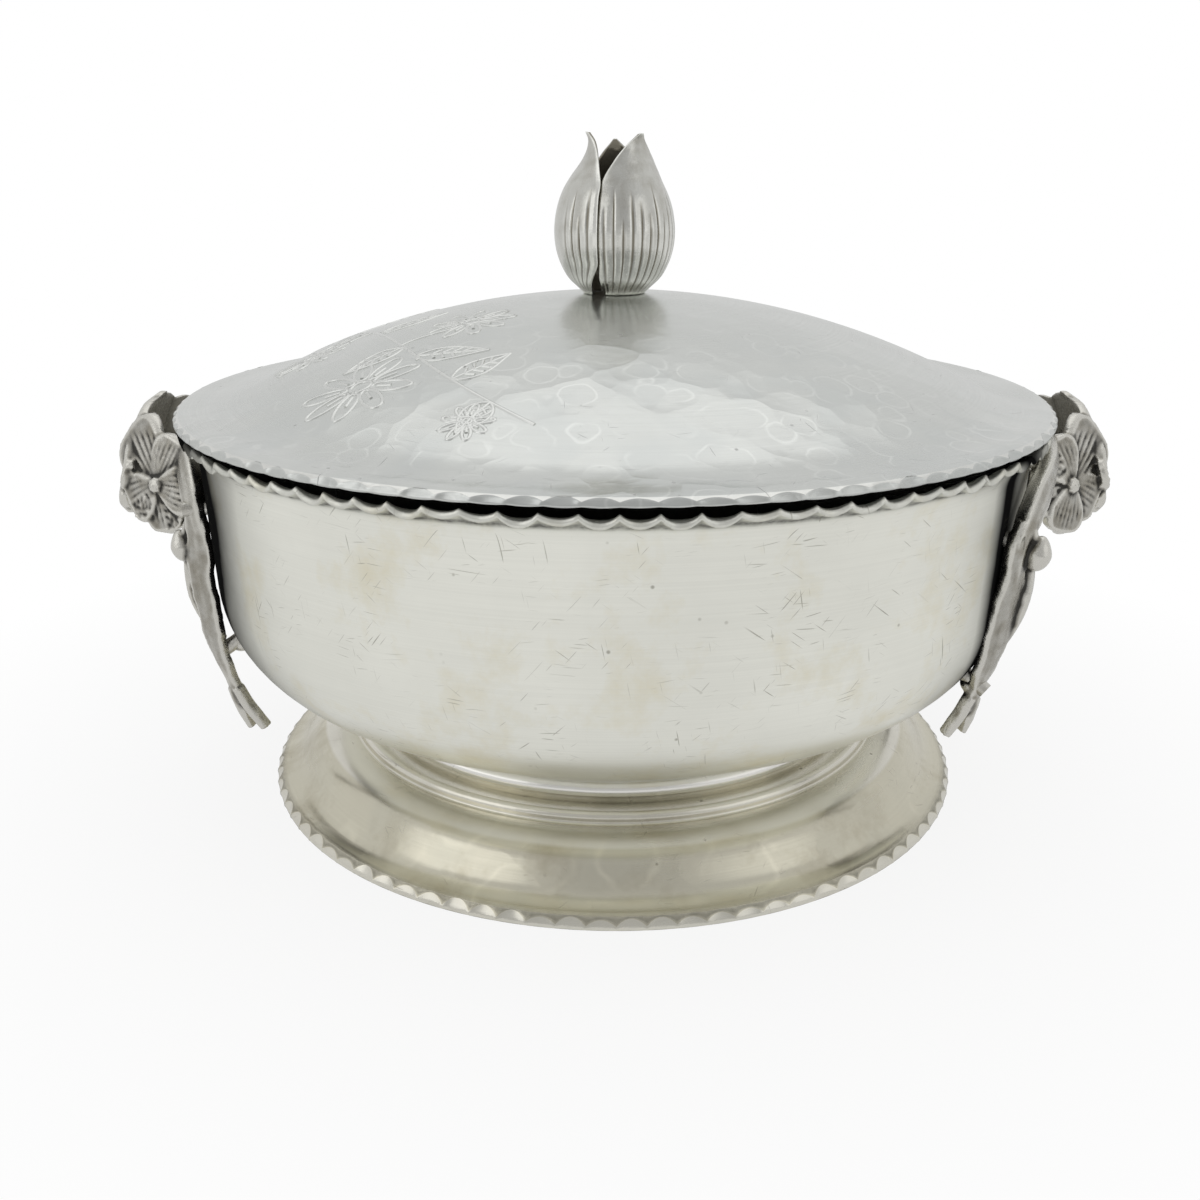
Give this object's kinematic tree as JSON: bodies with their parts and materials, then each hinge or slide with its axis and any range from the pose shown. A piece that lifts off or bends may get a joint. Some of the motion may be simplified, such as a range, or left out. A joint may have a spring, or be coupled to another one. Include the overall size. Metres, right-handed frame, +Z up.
{
  "type": "lidded serving dish",
  "caption": "Round hammered aluminium serving dish on a pedestal foot, with a loose domed lid, a tulip knob and flower-garland side handles with ribbon legs.",
  "frame": {"origin": "on the table, at the centre of the foot's underside", "axes": "+X from the middle out through the right handle, -Y towards the viewer, +Z up"},
  "size_m": [0.2834, 0.24, 0.1794],
  "materials": {
    "bowl_metal": "worn satin, fine brush lines",
    "lid_metal": "worn satin over hammer marks",
    "foot_metal": "aged polish",
    "cast_metal": "cast, dark in the recesses",
    "rivet_metal": "peened",
    "screw_metal": "plain"
  },
  "bodies": {
    "dish": {"bowl": "bowl_metal", "foot": "foot_metal", "foot_rivets": "rivet_metal", "handle_left": "cast_metal", "handle_right": "cast_metal", "handle_left_rivets": "rivet_metal", "handle_right_rivets": "rivet_metal"},
    "lid": {"lid": "lid_metal", "petal_left": "cast_metal", "petal_right": "cast_metal", "petal_back": "cast_metal", "knob_screw": "screw_metal", "knob_washer": "screw_metal", "knob_nut": "screw_metal"}
  },
  "joints": [
    {"name": "lid_lift", "type": "slide", "parent": "dish", "child": "lid", "axis": [0, 0, 1], "range_m": [0, 0.15]}
  ]
}
